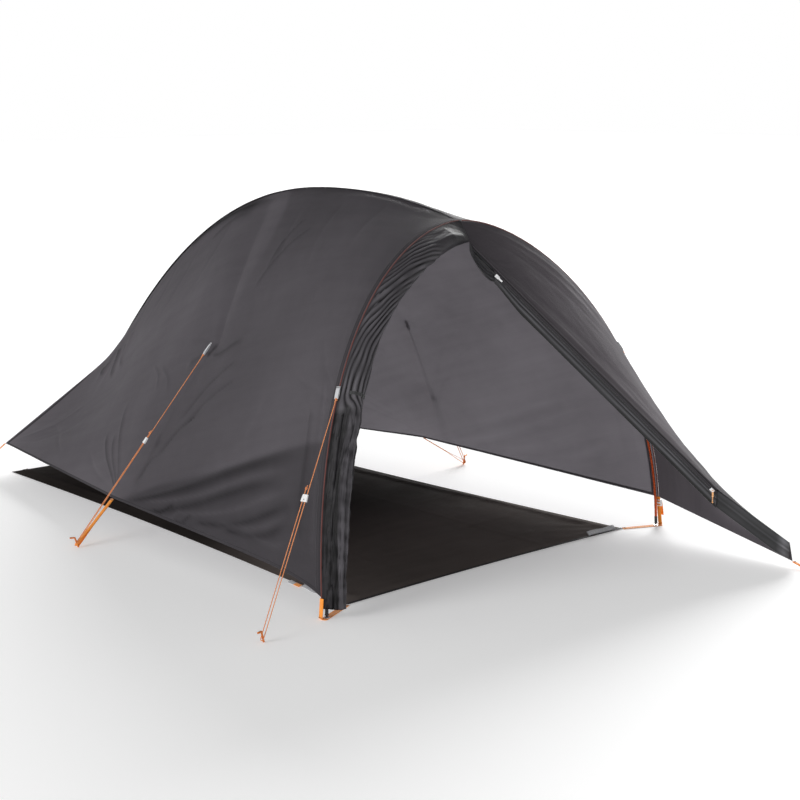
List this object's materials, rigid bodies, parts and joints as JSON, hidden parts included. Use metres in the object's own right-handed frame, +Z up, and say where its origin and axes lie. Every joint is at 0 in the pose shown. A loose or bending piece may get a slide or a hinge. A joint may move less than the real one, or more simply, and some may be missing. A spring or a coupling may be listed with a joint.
{
  "type": "two-person trekking tent",
  "caption": "Low ridge tent pitched on a hubbed three-legged pole: arched doorway, one door rolled, one pegged out, groundsheet, guylines and pegs.",
  "frame": {"origin": "on the ground under the middle of the groundsheet", "axes": "+Y from the doorway to the foot end, +Z up, +X towards the side whose door is pegged out"},
  "size_m": [1.8517, 2.9712, 1.112],
  "materials": {
    "fly_fabric": "semi-gloss coated ripstop",
    "trim_fabric": "semi-gloss coated ripstop",
    "groundsheet_fabric": "satin coated cloth",
    "piping_fabric": "matt",
    "orange_webbing": "matt woven",
    "reflective_webbing": "reflective woven",
    "guyline_cord": "matt braided",
    "shock_cord": "braided cover",
    "pole_alloy": "anodised",
    "bare_alloy": "satin",
    "peg_alloy": "anodised",
    "slider_metal": "satin",
    "hub_plastic": "matt",
    "lock_plastic": "satin",
    "zip_plastic": "satin",
    "pull_cord": "satin"
  },
  "bodies": {
    "pitched_tent": {"arch_piping_left": "piping_fabric", "arch_piping_right": "piping_fabric", "corner_strap_left": "orange_webbing", "corner_strap_rear": "orange_webbing", "corner_strap_right": "orange_webbing", "door_tie_band": "trim_fabric", "fly_foot_panel_left": "fly_fabric", "fly_foot_panel_right": "fly_fabric", "fly_side_left_front": "fly_fabric", "fly_side_left_rear": "fly_fabric", "fly_side_right_front": "fly_fabric", "fly_side_right_rear": "fly_fabric", "front_pole_left_bottom": "pole_alloy", "front_pole_left_middle": "pole_alloy", "front_pole_left_top": "pole_alloy", "front_pole_right_bottom": "pole_alloy", "front_pole_right_middle": "pole_alloy", "front_pole_right_top": "pole_alloy", "groundsheet": "groundsheet_fabric", "guy_loops": "reflective_webbing", "guyline_front_left": "guyline_cord", "guyline_mid_left": "guyline_cord", "guyline_mid_right": "guyline_cord", "hem_peg_straps": "orange_webbing", "pegs": "peg_alloy", "pole_ferrules": "bare_alloy", "pole_hub": "hub_plastic", "pole_shock_cords": "shock_cord", "pole_tips": "bare_alloy", "pole_wraps": "trim_fabric", "ridge_pole_elbow_section": "pole_alloy", "ridge_pole_section_1": "pole_alloy", "ridge_pole_section_2": "pole_alloy", "ridge_pole_section_3": "pole_alloy", "ridge_pole_section_4": "pole_alloy", "ridge_pole_section_5": "pole_alloy", "rolled_door": "trim_fabric", "storm_flap": "trim_fabric", "strap_grommets": "bare_alloy", "vestibule_door_panel": "fly_fabric", "zip_coil": "zip_plastic", "zip_tape": "trim_fabric"},
    "upper_slider": {"zip_slider_upper": "slider_metal"},
    "upper_pull": {"zip_pull_upper": "pull_cord"},
    "lower_slider": {"zip_slider_lower": "slider_metal"},
    "lower_pull": {"zip_pull_lower": "pull_cord"},
    "toggle": {"door_toggle": "hub_plastic"},
    "lock_front_left": {"line_lock_front_left": "lock_plastic"},
    "lock_mid_left": {"line_lock_mid_left": "lock_plastic"},
    "lock_mid_right": {"line_lock_mid_right": "lock_plastic"},
    "adjuster_right": {"strap_adjuster_right": "lock_plastic"},
    "adjuster_rear": {"strap_adjuster_rear": "lock_plastic"}
  },
  "joints": [
    {"name": "upper_zip_slide", "type": "slide", "parent": "pitched_tent", "child": "upper_slider", "axis": [0.4705, -0.5377, -0.6996], "range_m": [-0.08, 0.6]},
    {"name": "lower_zip_slide", "type": "slide", "parent": "pitched_tent", "child": "lower_slider", "axis": [0.4705, -0.5377, -0.6996], "range_m": [-0.29, 0]},
    {"name": "upper_pull_swing", "type": "hinge", "parent": "upper_slider", "child": "upper_pull", "pos_m": [0.05392, -0.9977, 0.87035], "axis": [-0.7526, -0.6585, 0], "range_deg": [-90, 30]},
    {"name": "lower_pull_swing", "type": "hinge", "parent": "lower_slider", "child": "lower_pull", "pos_m": [0.48585, -1.49134, 0.2281], "axis": [-0.7526, -0.6585, 0], "range_deg": [-60, 60]},
    {"name": "line_lock_slide_front_left", "type": "slide", "parent": "pitched_tent", "child": "lock_front_left", "axis": [-0.5131, -0.1729, -0.8407], "range_m": [0, 0.18]},
    {"name": "line_lock_slide_mid_left", "type": "slide", "parent": "pitched_tent", "child": "lock_mid_left", "axis": [-0.5617, 0.2005, -0.8027], "range_m": [0, 0.18]},
    {"name": "line_lock_slide_mid_right", "type": "slide", "parent": "pitched_tent", "child": "lock_mid_right", "axis": [0.5662, 0.1994, -0.7998], "range_m": [0, 0.18]},
    {"name": "adjuster_slide_right", "type": "slide", "parent": "pitched_tent", "child": "adjuster_right", "axis": [-0.0853, 0.0505, 0.9951], "range_m": [-0.045, 0.004]},
    {"name": "adjuster_slide_rear", "type": "slide", "parent": "pitched_tent", "child": "adjuster_rear", "axis": [0, -0.2734, 0.9619], "range_m": [-0.045, 0.004]},
    {"name": "door_toggle_turn", "type": "hinge", "parent": "pitched_tent", "child": "toggle", "pos_m": [-0.5371, -1.02614, 0.57365], "axis": [0.5118, 0.7397, -0.4369], "range_deg": [-90, 90]}
  ]
}
